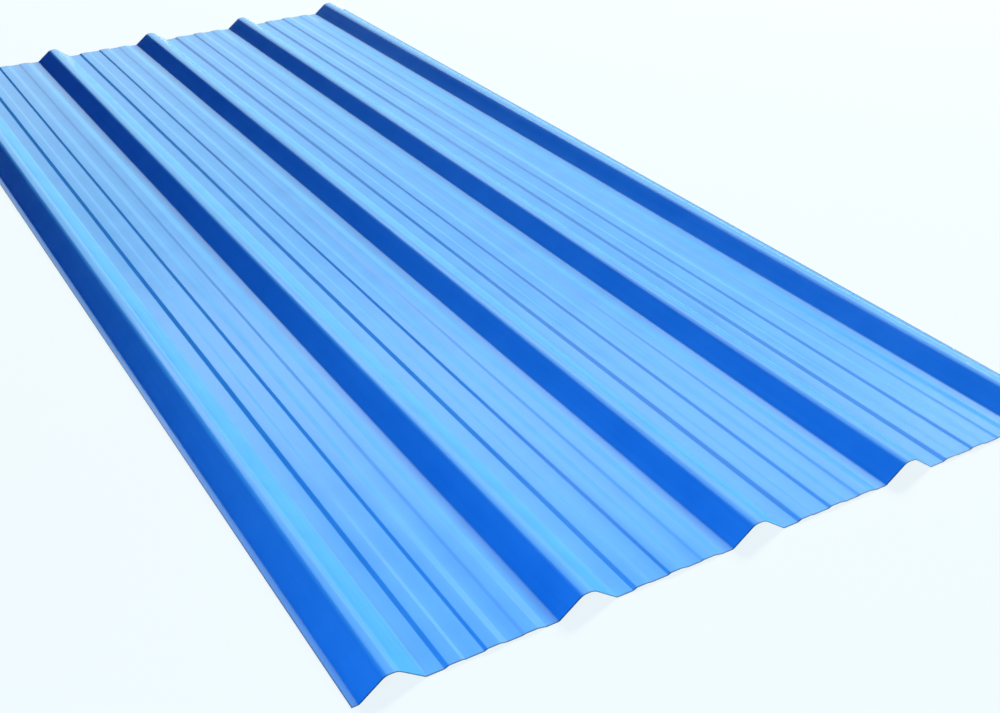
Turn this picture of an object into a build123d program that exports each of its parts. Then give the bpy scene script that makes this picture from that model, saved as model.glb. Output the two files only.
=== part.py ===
from build123d import *
from math import radians, tan
import os

# A roll-formed trapezoidal roofing sheet: one piece of thin coated steel, lying flat.
# X runs across the sheet, Y along it and Z up. The origin is the middle of the sheet, at the level
# of its underside, which is what rests on a floor or a purlin.

# Driving dimensions, in millimetres
sheet_length = 2000
sheet_thickness = 0.5

rib_count = 5
rib_pitch = 205
rib_height = 20
rib_foot_width = 65
rib_crest_width = 12
crest_radius = 13
foot_radius = 5

lip_width = 7.5

# Each pan between two ribs carries a few very shallow beads, and the metal between them stays a
# little above the flat strips beside the ribs. A bead rises steeply on its left and falls gently
# on its right. Only the last bead rises gently as well.
bead_count = 3
bead_spacing = 40
bead_top_width = 13
side_bead_height = 2.1
middle_bead_height = 2.9
platform_height = 1.3
steep_slope = 23
gentle_slope = 12
bead_radius = 4

# Worked out from the sizes above
half_foot = rib_foot_width / 2
half_crest = rib_crest_width / 2
half_top = bead_top_width / 2
first_rib = -(rib_count - 1) * rib_pitch / 2
first_bead = -(bead_count - 1) * bead_spacing / 2


def rib_points(centre):
    """Corners of one rib, each with its height and its bend radius."""
    return [
        (centre - half_foot, 0, foot_radius),
        (centre - half_crest, rib_height, crest_radius),
        (centre + half_crest, rib_height, crest_radius),
        (centre + half_foot, 0, foot_radius),
    ]


def pan_points(centre):
    """Corners of the beads in the pan whose middle is at centre, from left to right."""
    corners = []
    for bead in range(bead_count):
        middle = centre + first_bead + bead * bead_spacing
        is_first = bead == 0
        is_last = bead == bead_count - 1
        top = side_bead_height if is_first or is_last else middle_bead_height
        left_foot = 0 if is_first else platform_height
        right_foot = 0 if is_last else platform_height
        left_slope = gentle_slope if is_last else steep_slope
        left_flank = (top - left_foot) / tan(radians(left_slope))
        right_flank = (top - right_foot) / tan(radians(gentle_slope))
        corners += [
            (middle - half_top - left_flank, left_foot, bead_radius),
            (middle - half_top, top, bead_radius),
            (middle + half_top, top, bead_radius),
            (middle + half_top + right_flank, right_foot, bead_radius),
        ]
    return corners


# The underside of the sheet as one bent line, from the left lip to the right one
corners = []
for rib in range(rib_count):
    rib_centre = first_rib + rib * rib_pitch
    corners += rib_points(rib_centre)
    if rib < rib_count - 1:
        corners += pan_points(rib_centre + rib_pitch / 2)

left_edge = corners[0][0] - lip_width
right_edge = corners[-1][0] + lip_width
outline = [(left_edge, 0), *[(x, z) for x, z, radius in corners], (right_edge, 0)]
radii = [radius for x, z, radius in corners]

# The sheet: the line is thickened upwards and run along the whole length
with BuildPart() as roofing_sheet:
    with BuildSketch(Plane.XZ):
        with BuildLine():
            FilletPolyline(*outline, radius=radii)
            offset(amount=sheet_thickness, side=Side.LEFT, closed=True)
        make_face()
    extrude(amount=sheet_length / 2, both=True)

roofing_sheet.part.label = "roofing_sheet"

os.makedirs("parts", exist_ok=True)
export_step(roofing_sheet.part, "parts/roofing_sheet.step")
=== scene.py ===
# %% [markdown]
# # A blue corrugated roofing sheet
# The object is one piece of thin steel, painted sky blue and rolled into five low ribs, with shallow
# beads along the flat pans between them. It has no fasteners and no second part, so everything that
# makes it look real is in three things: the exact shape of the bends, the sheen of factory paint, and
# the thin cut edge. The script loads the fixed model first, and every later cell works in its frame,
# in metres.

# %% Load the fixed model
from math import acos, ceil, cos, pi, radians, sin, tan

import bpy
import numpy as np
from mathutils import Matrix, Vector


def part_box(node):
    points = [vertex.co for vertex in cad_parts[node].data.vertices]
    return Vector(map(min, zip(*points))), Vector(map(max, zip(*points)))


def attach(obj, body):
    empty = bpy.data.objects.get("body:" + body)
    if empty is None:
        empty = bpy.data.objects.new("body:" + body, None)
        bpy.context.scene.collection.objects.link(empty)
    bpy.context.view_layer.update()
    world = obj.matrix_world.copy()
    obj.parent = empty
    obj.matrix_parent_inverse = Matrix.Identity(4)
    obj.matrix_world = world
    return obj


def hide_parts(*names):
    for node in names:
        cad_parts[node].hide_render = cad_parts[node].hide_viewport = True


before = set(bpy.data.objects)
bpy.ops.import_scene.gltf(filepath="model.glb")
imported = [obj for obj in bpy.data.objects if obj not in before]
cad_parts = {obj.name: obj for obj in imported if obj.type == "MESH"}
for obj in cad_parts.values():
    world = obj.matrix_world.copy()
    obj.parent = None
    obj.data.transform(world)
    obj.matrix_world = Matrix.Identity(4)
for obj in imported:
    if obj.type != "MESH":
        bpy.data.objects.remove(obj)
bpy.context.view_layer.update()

low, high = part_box("roofing_sheet")
sheet_width = high.x - low.x
sheet_length = high.y - low.y
sheet_height = high.z - low.z
for label, size in (("width", sheet_width), ("length", sheet_length), ("height", sheet_height)):
    print("sheet", label, round(size, 4), "m")

# %% [markdown]
# ## The camera
# A long straight object shows at once when a camera is a little off, because every rib points at the
# same vanishing point. So the camera is not placed by eye. Its position, lens and three angles are
# the ones that carry the sheet's known section onto the straight lines of its ribs. Turning is given
# as a heading, a downward tilt and a small lean, as a photographer would say it, and a matrix is
# built from the three.

# %% Camera
camera_place = Vector((-0.7499, -1.8074, 0.8427))
heading = radians(29.43)
downward = radians(30.18)
lean = radians(-1.366)
lens_mm = 48.28
film_mm = 36.0

forward = Vector((sin(heading) * cos(downward), cos(heading) * cos(downward), -sin(downward)))
level_right = Vector((cos(heading), -sin(heading), 0.0))
level_up = level_right.cross(forward)
camera_right = level_right * cos(lean) + level_up * sin(lean)
camera_up = camera_right.cross(forward)

camera_data = bpy.data.cameras.new("camera")
camera_data.lens = lens_mm
camera_data.sensor_width = film_mm
camera = bpy.data.objects.new("camera", camera_data)
turn = Matrix((camera_right, camera_up, -forward)).transposed()
camera.matrix_world = Matrix.Translation(camera_place) @ turn.to_4x4()
bpy.context.scene.collection.objects.link(camera)
bpy.context.scene.camera = camera
sheet_middle = (low + high) / 2
print("camera is", round((camera_place - sheet_middle).length, 2), "m from the middle of the sheet")

# %% [markdown]
# ## The rolled section
# On the real object, a strip of coil runs through pairs of rollers that bend it a little at a time.
# What they leave is a line of flats joined by round bends, the same all along the sheet. It could be
# drawn as a flat plane and bent with modifiers, but a list of corners, each with its bend radius, is
# shorter and exact. The corners are those of the underside, which lies on the floor, and the metal is
# added above it later.

# %% Sizes of the section, in metres
gauge = 0.0005
rib_count = 5
rib_pitch = 0.205
rib_height = sheet_height - gauge
rib_foot_width = 0.065
rib_crest_width = 0.012
crest_bend = 0.013
foot_bend = 0.005
bead_count = 3
bead_spacing = 0.040
bead_top_width = 0.013
side_bead_height = 0.0021
middle_bead_height = 0.0029
platform_height = 0.0013
steep_slope = radians(23.0)
gentle_slope = radians(12.0)
bead_bend = 0.004
print("rib height:", round(rib_height, 4), "m")


# %% Corners of the section
def rib_corners(centre):
    """The four corners of a rib, each as (x, z, bend radius)."""
    foot = rib_foot_width / 2
    crest = rib_crest_width / 2
    return [
        (centre - foot, 0.0, foot_bend),
        (centre - crest, rib_height, crest_bend),
        (centre + crest, rib_height, crest_bend),
        (centre + foot, 0.0, foot_bend),
    ]


def pan_corners(centre):
    """The corners of the beads around centre. All rise steeply on the left, except the last."""
    corners = []
    for bead in range(bead_count):
        middle = centre + (bead - (bead_count - 1) / 2) * bead_spacing
        half = bead_top_width / 2
        is_first = bead == 0
        is_last = bead == bead_count - 1
        top = side_bead_height if is_first or is_last else middle_bead_height
        left_foot = 0.0 if is_first else platform_height
        right_foot = 0.0 if is_last else platform_height
        left_flank = (top - left_foot) / tan(gentle_slope if is_last else steep_slope)
        right_flank = (top - right_foot) / tan(gentle_slope)
        corners += [
            (middle - half - left_flank, left_foot, bead_bend),
            (middle - half, top, bead_bend),
            (middle + half, top, bead_bend),
            (middle + half + right_flank, right_foot, bead_bend),
        ]
    return corners


corners = [(low.x, 0.0, 0.0)]
for rib in range(rib_count):
    rib_centre = (rib - (rib_count - 1) / 2) * rib_pitch
    corners += rib_corners(rib_centre)
    if rib < rib_count - 1:
        corners += pan_corners(rib_centre + rib_pitch / 2)
corners.append((high.x, 0.0, 0.0))
print("corners in the section:", len(corners))

# %% [markdown]
# Each corner becomes an arc that touches both of its flats. The arc is cut into short steps by angle,
# so a sharp rib bend gets more points than a faint bead, and the long flats get a point every few
# millimetres, which lets the metal wave a little in a later cell.

# %% Round the corners
step_angle = radians(7.0)
longest_step = 0.010


def arc_points(before, corner, after, radius):
    """Points of the arc that rounds one corner, from one flat to the next."""
    into = (corner - before).normalized()
    out = (after - corner).normalized()
    turn_angle = acos(max(-1.0, min(1.0, into.dot(out))))
    if radius == 0.0 or turn_angle == 0.0:
        return [corner]
    side = 1.0 if into.cross(out) > 0 else -1.0
    start = corner - into * radius * tan(turn_angle / 2)
    centre = start + Vector((-into.y, into.x)) * radius * side
    arm = start - centre
    steps = max(2, ceil(turn_angle / step_angle))
    points = []
    for step in range(steps + 1):
        angle = side * turn_angle * step / steps
        turned_x = arm.x * cos(angle) - arm.y * sin(angle)
        turned_y = arm.x * sin(angle) + arm.y * cos(angle)
        points.append(centre + Vector((turned_x, turned_y)))
    return points


flat_corners = [Vector((x, z)) for x, z, bend in corners]
section = [flat_corners[0]]
for i in range(1, len(corners) - 1):
    section += arc_points(flat_corners[i - 1], flat_corners[i], flat_corners[i + 1], corners[i][2])
section.append(flat_corners[-1])

fine_section = [section[0]]
for point in section[1:]:
    start = fine_section[-1]
    gap = point - start
    pieces = max(1, ceil(gap.length / longest_step))
    fine_section += [start + gap * piece / pieces for piece in range(1, pieces + 1)]
developed = sum((b - a).length for a, b in zip(fine_section, fine_section[1:]))
print("points across:", len(fine_section), "developed width:", round(developed, 4), "m")

# %% [markdown]
# ## The sheet
# The section is run along the length in rows, which gives the underside as a grid. A solidify
# modifier then adds the gauge above it. That is the simplest way to a sheet of even thickness, and
# its material offsets give the painted face, the back coat and the bare cut edges a finish each, with
# no faces picked by hand.
#
# Thin metal is never quite straight. The pans lift by a few tenths of a millimetre in long soft
# waves, and the ribs wander sideways by about as much. The waves only lift the pans and die out at
# the sides, so the sheet keeps its true size and still rests flat. Where the metal tilts, the gauge
# can push a corner a few thousandths of a millimetre past the cut, and those points are moved back
# onto it.

# %% Slow waves in the metal
# Each wave has its turns a metre across the sheet and along it, a shift in radians, and a share.
wave_shapes = [
    (0.9, 1 / 0.83, 0.0, 1.0),
    (-1.7, 1 / 0.37, 1.3, 0.6),
    (1 / 0.31, 0.4, 0.7, 0.5),
]


def waves(x, y):
    """A smooth value from 0 to 1 that changes slowly along the sheet and across it."""
    swing = 0.0
    largest = 0.0
    for across, along, shift, share in wave_shapes:
        swing = swing + share * np.sin(2 * pi * (across * x + along * y) + shift)
        largest += share
    return (swing + largest) / (2 * largest)


print("wave at the middle of the sheet:", round(float(waves(0.0, 0.0)), 2))

# %% Grid of the underside
row_count = 96
lift = 0.0004
wander = 0.0006
# The ribs wander by the same waves, slowed across and along and begun a little further on.
wander_pace = (0.3, 0.7)
wander_start = 0.2
# A high power keeps the waves whole in the middle and stills them just before the sides.
side_power = 8

x_line = np.array([point.x for point in fine_section])
z_line = np.array([point.y for point in fine_section])
y_line = np.linspace(low.y, high.y, row_count + 1)
x_grid, y_grid = np.meshgrid(x_line, y_line)
z_grid = np.tile(z_line, (row_count + 1, 1))
inside = 1.0 - (np.abs(x_grid) / (sheet_width / 2)) ** side_power
pan_share = 1.0 - np.clip(z_grid / rib_height, 0.0, 1.0)
z_grid = z_grid + low.z + lift * waves(x_grid, y_grid) * inside * pan_share
rib_waves = waves(wander_pace[0] * x_grid, wander_pace[1] * y_grid + wander_start)
x_grid = x_grid + wander * (rib_waves - 0.5) * inside
print("highest underside point:", round(float(z_grid.max()), 5), "m")

# %% Mesh of the underside
column_count = len(x_line)
corner_ids = np.arange((row_count + 1) * column_count).reshape(row_count + 1, column_count)
faces = np.stack(
    [corner_ids[:-1, :-1], corner_ids[:-1, 1:], corner_ids[1:, 1:], corner_ids[1:, :-1]], axis=-1
).reshape(-1, 4)
vertices = np.stack([x_grid, y_grid, z_grid], axis=-1).reshape(-1, 3)
sheet_mesh = bpy.data.meshes.new("corrugated_sheet")
sheet_mesh.from_pydata(vertices.tolist(), [], faces.tolist())
sheet = bpy.data.objects.new("corrugated_sheet", sheet_mesh)
bpy.context.scene.collection.objects.link(sheet)
print("faces of the underside:", len(faces))

# %% Gauge and finishes
back_coat = bpy.data.materials.new("grey_back_coat")
blue_paint = bpy.data.materials.new("sky_blue_paint")
cut_edge = bpy.data.materials.new("sheared_steel_edge")
sheet_materials = [blue_paint, back_coat, cut_edge]
for material in sheet_materials:
    sheet_mesh.materials.append(material)

gauge_modifier = sheet.modifiers.new("gauge", "SOLIDIFY")
gauge_modifier.thickness = gauge
gauge_modifier.offset = 1.0
gauge_modifier.use_even_offset = True
gauge_modifier.material_offset = sheet_materials.index(back_coat)
gauge_modifier.material_offset_rim = sheet_materials.index(cut_edge)
bpy.context.view_layer.objects.active = sheet
bpy.ops.object.modifier_apply(modifier="gauge")
for vertex in sheet.data.vertices:
    vertex.co = [min(max(at, start), end) for at, start, end in zip(vertex.co, low, high)]

sharp_from = radians(40.0)
sheet.data.shade_smooth()
sheet.data.set_sharp_from_angle(angle=sharp_from)
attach(sheet, "root")
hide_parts("roofing_sheet")
for index, material in enumerate(sheet_materials):
    chosen = [face for face in sheet.data.polygons if face.material_index == index]
    mean_rise = sum(face.normal.z for face in chosen) / len(chosen)
    print(material.name, "faces:", len(chosen), "and their mean normal rises by", round(mean_rise, 2))

# %% [markdown]
# ## Effects that the finishes share
# Rolling and coil coating both leave marks that run along the sheet: faint streaks, slightly
# different in colour and gloss. Paint, back coat and cut edge all have them, so they are one node
# group. It stretches a noise along Y and adds some unstretched mottle, and gives one value that each
# finish uses in its way.

# %% Helpers for nodes
def feed(tree, socket, value):
    """Sets an input to a plain value, or links it to a socket."""
    if isinstance(value, bpy.types.NodeSocket):
        tree.links.new(value, socket)
    else:
        socket.default_value = value


def new_group(name, inputs, outputs):
    """A shader node group with the named number inputs and outputs."""
    group = bpy.data.node_groups.new(name, "ShaderNodeTree")
    for label in inputs:
        group.interface.new_socket(label, in_out="INPUT", socket_type="NodeSocketFloat")
    for label in outputs:
        group.interface.new_socket(label, in_out="OUTPUT", socket_type="NodeSocketFloat")
    return group, group.nodes.new("NodeGroupInput"), group.nodes.new("NodeGroupOutput")


def math_node(tree, operation, first, second):
    """The result of a math node whose inputs are sockets or plain numbers."""
    node = tree.nodes.new("ShaderNodeMath")
    node.operation = operation
    feed(tree, node.inputs[0], first)
    feed(tree, node.inputs[1], second)
    return node.outputs[0]


def noise_node(tree, vector, scale, detail):
    """Noise from 0 to 1 at a scale that may be a socket."""
    node = tree.nodes.new("ShaderNodeTexNoise")
    feed(tree, node.inputs["Vector"], vector)
    feed(tree, node.inputs["Scale"], scale)
    feed(tree, node.inputs["Detail"], detail)
    return node.outputs["Fac"]


def ramp(tree, value, start, end, first, last):
    """A number that runs from first to last, and no further, as the value goes from start to end."""
    node = tree.nodes.new("ShaderNodeMapRange")
    feed(tree, node.inputs["Value"], value)
    feed(tree, node.inputs["From Min"], start)
    feed(tree, node.inputs["From Max"], end)
    feed(tree, node.inputs["To Min"], first)
    feed(tree, node.inputs["To Max"], last)
    return node.outputs["Result"]


# %% Rolling marks
# Slowed along Y, the noise becomes streaks that run along the sheet.
streak_stretch = (1.0, 0.012, 1.0)
streak_detail = 4.0
mottle_detail = 3.0
# Most of the noise lies between these two values, so they become 0 and 1.
noise_low = 0.3
noise_high = 0.7

marks_inputs = ["Streak Scale", "Mottle Scale", "Mottle"]
marks, marks_in, marks_out = new_group("rolling_marks", marks_inputs, ["Mask"])
place = marks.nodes.new("ShaderNodeTexCoord").outputs["Object"]
stretch = marks.nodes.new("ShaderNodeMapping")
feed(marks, stretch.inputs["Scale"], streak_stretch)
feed(marks, stretch.inputs["Vector"], place)
along_sheet = stretch.outputs["Vector"]
streaks = noise_node(marks, along_sheet, marks_in.outputs["Streak Scale"], streak_detail)
mottle = noise_node(marks, place, marks_in.outputs["Mottle Scale"], mottle_detail)
blend = marks.nodes.new("ShaderNodeMix")
feed(marks, blend.inputs["Factor"], marks_in.outputs["Mottle"])
feed(marks, blend.inputs["A"], streaks)
feed(marks, blend.inputs["B"], mottle)
marks_mask = ramp(marks, blend.outputs["Result"], noise_low, noise_high, 0.0, 1.0)
feed(marks, marks_out.inputs["Mask"], marks_mask)
print("group", marks.name, "has", len(marks.nodes), "nodes")

# %% [markdown]
# Along every cut, both coats turn dark in a thin line all round. This is a painted shadow line that
# outlines the edge. The same line is needed on both faces, so it is a group as well. It measures how
# close a point is to the nearest cut, in the sheet's own coordinates.

# %% Sheared border
border, border_in, border_out = new_group("sheared_border", ["Width"], ["Mask"])
border_place = border.nodes.new("ShaderNodeTexCoord").outputs["Object"]
border_parts = border.nodes.new("ShaderNodeSeparateXYZ")
feed(border, border_parts.inputs[0], border_place)
from_middle = math_node(border, "ABSOLUTE", border_parts.outputs["X"], 0.0)
from_half_way = math_node(border, "ABSOLUTE", border_parts.outputs["Y"], 0.0)
to_side = math_node(border, "SUBTRACT", sheet_width / 2, from_middle)
to_end = math_node(border, "SUBTRACT", sheet_length / 2, from_half_way)
to_cut = math_node(border, "MINIMUM", to_side, to_end)
border_mask = ramp(border, to_cut, 0.0, border_in.outputs["Width"], 1.0, 0.0)
feed(border, border_out.inputs["Mask"], border_mask)
print("group", border.name, "has", len(border.nodes), "nodes")

# %% [markdown]
# A painted or zinc surface also has a fine relief of its own. In paint it is orange peel, soft
# dimples a millimetre or two wide, and on a sheared edge it is the much finer tearing of the metal.
# Both are a noise height, so one group with a scale gives both.

# %% Skin relief
dimple_detail = 2.0
relief, relief_in, relief_out = new_group("skin_relief", ["Scale"], ["Height"])
relief_place = relief.nodes.new("ShaderNodeTexCoord").outputs["Object"]
dimples = noise_node(relief, relief_place, relief_in.outputs["Scale"], dimple_detail)
feed(relief, relief_out.inputs["Height"], dimples)
print("group", relief.name, "has", len(relief.nodes), "nodes")


# %% Helpers for finishes
def place_group(tree, group, values):
    """A copy of a group in a material, with its own values."""
    node = tree.nodes.new("ShaderNodeGroup")
    node.node_tree = group
    for label, value in values.items():
        node.inputs[label].default_value = value
    return node


def two_colours(tree, mask, first, second):
    """A colour from first to second as the mask goes from 0 to 1. First may be a socket."""
    mix = tree.nodes.new("ShaderNodeMix")
    mix.data_type = "RGBA"
    colour_a, colour_b = [socket for socket in mix.inputs if socket.type == "RGBA"]
    feed(tree, mix.inputs["Factor"], mask)
    feed(tree, colour_a, (*first, 1.0) if isinstance(first, tuple) else first)
    feed(tree, colour_b, (*second, 1.0))
    return next(socket for socket in mix.outputs if socket.type == "RGBA")


def add_relief(tree, shader, scale, depth, strength):
    """Skin relief on a shader, as a bump. The depth is in metres."""
    skin = place_group(tree, relief, {"Scale": scale})
    bump = tree.nodes.new("ShaderNodeBump")
    feed(tree, bump.inputs["Distance"], depth)
    feed(tree, bump.inputs["Strength"], strength)
    feed(tree, bump.inputs["Height"], skin.outputs["Height"])
    feed(tree, shader.inputs["Normal"], bump.outputs["Normal"])


# %% [markdown]
# The paint on top and the primer below are both coats from the same coating line. Each is streaked in
# colour and gloss, darkened along the cut by the painted shadow line, and dimpled. So one function
# lays a coat, and the two cells that use it only say how that coat differs.

# %% Helper for the two coats
peel_depth = 0.00002
peel_strength = 0.5


def lay_coat(material, mark_values, colours, shadow_line_colour, border_width, roughness, peel_scale):
    """Paint or primer on one face. Its marks run between two colours and two roughnesses."""
    material.use_nodes = True
    tree = material.node_tree
    shader = tree.nodes["Principled BSDF"]
    streaked = place_group(tree, marks, mark_values).outputs["Mask"]
    near_cut = place_group(tree, border, {"Width": border_width}).outputs["Mask"]
    # Near the cut the colour turns to that of the painted shadow line.
    colour = two_colours(tree, near_cut, two_colours(tree, streaked, *colours), shadow_line_colour)
    feed(tree, shader.inputs["Base Color"], colour)
    feed(tree, shader.inputs["Roughness"], ramp(tree, streaked, 0.0, 1.0, *roughness))
    add_relief(tree, shader, peel_scale, peel_depth, peel_strength)
    print(material.name, "has", len(tree.nodes), "nodes")


# %% [markdown]
# ## Sky-blue factory paint
# The top face is a baked coil coating: even, clean, semi-gloss. The blue itself is deep, and the pans
# look paler than it only because the coating mirrors a bright room at a flat angle. So the colour is
# written as the deep one, and the pale sheen is left to the shader's own reflection.

# %% Paint
deep_blue = (0.044, 0.370, 0.760)
light_blue = (0.078, 0.450, 0.850)
# The colour of the painted shadow line along the cut.
shadow_line_blue = (0.012, 0.050, 0.110)
lay_coat(
    blue_paint,
    mark_values={"Streak Scale": 70.0, "Mottle Scale": 16.0, "Mottle": 0.45},
    colours=(deep_blue, light_blue),
    shadow_line_colour=shadow_line_blue,
    border_width=0.0016,
    roughness=(0.13, 0.22),
    peel_scale=500.0,
)

# %% [markdown]
# ## Back coat
# The side that faces the roof space has a thin, cheap primer, pale grey and dull. It is seen only
# under the ribs and from below, with the same streaks along the sheet.

# %% Back coat
dull_grey = (0.42, 0.44, 0.46)
pale_grey = (0.55, 0.57, 0.59)
# The colour of the painted shadow line along the cut.
shadow_line_grey = (0.10, 0.10, 0.11)
lay_coat(
    back_coat,
    mark_values={"Streak Scale": 50.0, "Mottle Scale": 12.0, "Mottle": 0.5},
    colours=(dull_grey, pale_grey),
    shadow_line_colour=shadow_line_grey,
    border_width=0.0012,
    roughness=(0.50, 0.62),
    peel_scale=600.0,
)

# %% [markdown]
# ## Sheared edge
# A shear cuts the painted coil, so the rim shows bare steel with thin lines of zinc dragged over it.
# At half a millimetre it is only a dark hairline, and a dull, partly metallic surface with a torn
# relief is enough.

# %% Cut edge
dark_steel = (0.030, 0.035, 0.040)
zinc_grey = (0.10, 0.11, 0.12)
edge_metallic = 0.3
edge_roughness = (0.35, 0.6)
edge_mark_values = {"Streak Scale": 300.0, "Mottle Scale": 180.0, "Mottle": 0.8}

cut_edge.use_nodes = True
tree = cut_edge.node_tree
steel = tree.nodes["Principled BSDF"]
dragged_zinc = place_group(tree, marks, edge_mark_values).outputs["Mask"]
feed(tree, steel.inputs["Base Color"], two_colours(tree, dragged_zinc, dark_steel, zinc_grey))
feed(tree, steel.inputs["Metallic"], edge_metallic)
feed(tree, steel.inputs["Roughness"], ramp(tree, dragged_zinc, 0.0, 1.0, *edge_roughness))
add_relief(tree, steel, scale=4000.0, depth=0.00003, strength=0.8)
print(cut_edge.name, "has", len(tree.nodes), "nodes")

# %% [markdown]
# ## Floor and room
# The sheet lies on a plain pale floor in a pale room. Near the sheet the floor takes a faint shadow,
# and further out it glows more, until it can't be told from the room behind it. Both glow for the
# camera alone, so neither throws more light on the sheet. What the room gives the sheet is a dim blue,
# and the floor gives back what the lamps throw on it.

# %% Helpers for floor and room
def plain_shader(tree, kind, colour):
    """A shader of one plain colour."""
    node = tree.nodes.new(kind)
    node.inputs["Color"].default_value = (*colour, 1.0)
    return node.outputs[0]


def show_camera(tree, share, first, second, output_kind):
    """Puts out the first shader, but shows the camera this share of the second in its place."""
    path = tree.nodes.new("ShaderNodeLightPath")
    mix = tree.nodes.new("ShaderNodeMixShader")
    out = tree.nodes.new(output_kind)
    camera_share = math_node(tree, "MULTIPLY", path.outputs["Is Camera Ray"], share)
    feed(tree, mix.inputs["Fac"], camera_share)
    feed(tree, mix.inputs[1], first)
    feed(tree, mix.inputs[2], second)
    feed(tree, out.inputs["Surface"], mix.outputs[0])


# %% Floor
floor_gap = 0.0003
floor_reach = 40.0
corner_signs = [(-1, -1), (1, -1), (1, 1), (-1, 1)]
floor_corners = [(floor_reach * x, floor_reach * y, 0.0) for x, y in corner_signs]
floor_mesh = bpy.data.meshes.new("floor")
floor_mesh.from_pydata(floor_corners, [], [(0, 1, 2, 3)])
floor = bpy.data.objects.new("floor", floor_mesh)
floor.location.z = low.z - floor_gap
bpy.context.scene.collection.objects.link(floor)
print("floor is", 2 * floor_reach, "m square")

# %% Floor finish
pale_white = (0.913, 0.991, 1.0)
floor_colour = (0.86, 0.93, 0.94)
# The camera sees this share of plain white near the sheet, rising to all of it between two distances.
near_glow = 0.88
glow_start = 1.4
glow_full = 3.5

floor_material = bpy.data.materials.new("pale_floor")
floor_material.use_nodes = True
tree = floor_material.node_tree
tree.nodes.clear()
distance = tree.nodes.new("ShaderNodeVectorMath")
distance.operation = "LENGTH"
feed(tree, distance.inputs[0], tree.nodes.new("ShaderNodeTexCoord").outputs["Object"])
floor_glow = ramp(tree, distance.outputs["Value"], glow_start, glow_full, near_glow, 1.0)
floor_diffuse = plain_shader(tree, "ShaderNodeBsdfDiffuse", floor_colour)
floor_white = plain_shader(tree, "ShaderNodeEmission", pale_white)
show_camera(tree, floor_glow, floor_diffuse, floor_white, "ShaderNodeOutputMaterial")
floor_mesh.materials.append(floor_material)
print("floor is plain white to the camera from", glow_full, "m")

# %% Room
fill_colour = (0.01, 0.02, 0.19)
world = bpy.data.worlds.new("pale_room")
bpy.context.scene.world = world
world.use_nodes = True
tree = world.node_tree
tree.nodes.clear()
room_fill = plain_shader(tree, "ShaderNodeBackground", fill_colour)
room_white = plain_shader(tree, "ShaderNodeBackground", pale_white)
show_camera(tree, 1.0, room_fill, room_white, "ShaderNodeOutputWorld")
print("room fill:", fill_colour)

# %% [markdown]
# ## Lamps
# The key lamp stands far off to the right and behind. Seen along the ribs it is about as high as they
# are steep, so their left faces get almost none of its light and yet throw hardly a shadow on the
# pans. Those faces are filled by a cool lamp near the front left corner, which fades toward the far
# end, and by the dim blue of the room.
#
# Two large panels behind light nothing. They are there only to be mirrored in the paint, which gives
# the pans their pale sheen. Their left edges lie almost straight along the ribs, so whatever leans
# clearly to the left, such as a rib's left face or the steep side of a bead, mirrors the dim room
# instead and stays deep blue.


# %% Helpers for lamps
def soft_lamp(name, place, aim, width, height, radiance, colour):
    """A large rectangular lamp at place that faces aim. Its radiance is what a camera would see."""
    data = bpy.data.lights.new(name, "AREA")
    data.shape = "RECTANGLE"
    data.size = width
    data.size_y = height
    data.energy = radiance * pi * width * height
    data.color = colour
    lamp = bpy.data.objects.new(name, data)
    lamp.location = place
    lamp.rotation_euler = (Vector(aim) - Vector(place)).to_track_quat("-Z", "Y").to_euler()
    lamp.visible_camera = False
    bpy.context.scene.collection.objects.link(lamp)
    print(name, round(data.energy), "W")
    return lamp


def far_place(azimuth, elevation, distance):
    """A point seen from the middle of the sheet. Azimuth turns from +Y toward +X, in degrees."""
    level = distance * cos(radians(elevation))
    rise = distance * sin(radians(elevation))
    return (level * sin(radians(azimuth)), level * cos(radians(azimuth)), rise)


middle = (0.0, 0.0, 0.0)

# %% Key lamp
key = soft_lamp(
    "key_lamp",
    place=far_place(azimuth=65.0, elevation=31.4, distance=8.0),
    aim=middle,
    width=2.0,
    height=2.0,
    radiance=90.0,
    colour=(1.0, 0.98, 0.86),
)
key.visible_glossy = False

# %% Side fill
side_fill = soft_lamp(
    "side_fill",
    place=(-1.9, -2.3, 1.1),
    aim=(0.0, low.y, 0.0),
    width=1.3,
    height=1.3,
    radiance=1.42,
    colour=(0.12, 0.42, 1.0),
)
side_fill.visible_glossy = False
side_fill.data.spread = radians(54.0)

# %% Panels to be mirrored
panel_white = (0.97, 0.99, 1.0)
low_panel = soft_lamp(
    "low_panel",
    place=far_place(azimuth=42.5, elevation=22.0, distance=7.0),
    aim=middle,
    width=12.0,
    height=4.8,
    radiance=1.13,
    colour=panel_white,
)
high_panel = soft_lamp(
    "high_panel",
    place=far_place(azimuth=45.0, elevation=50.0, distance=6.0),
    aim=middle,
    width=7.6,
    height=4.0,
    radiance=1.5,
    colour=panel_white,
)
for panel in (low_panel, high_panel):
    panel.visible_diffuse = False

# %% [markdown]
# ## Finish
# The picture is kept as it is lit, with the standard view transform.

# %% View
bpy.context.scene.view_settings.view_transform = "Standard"
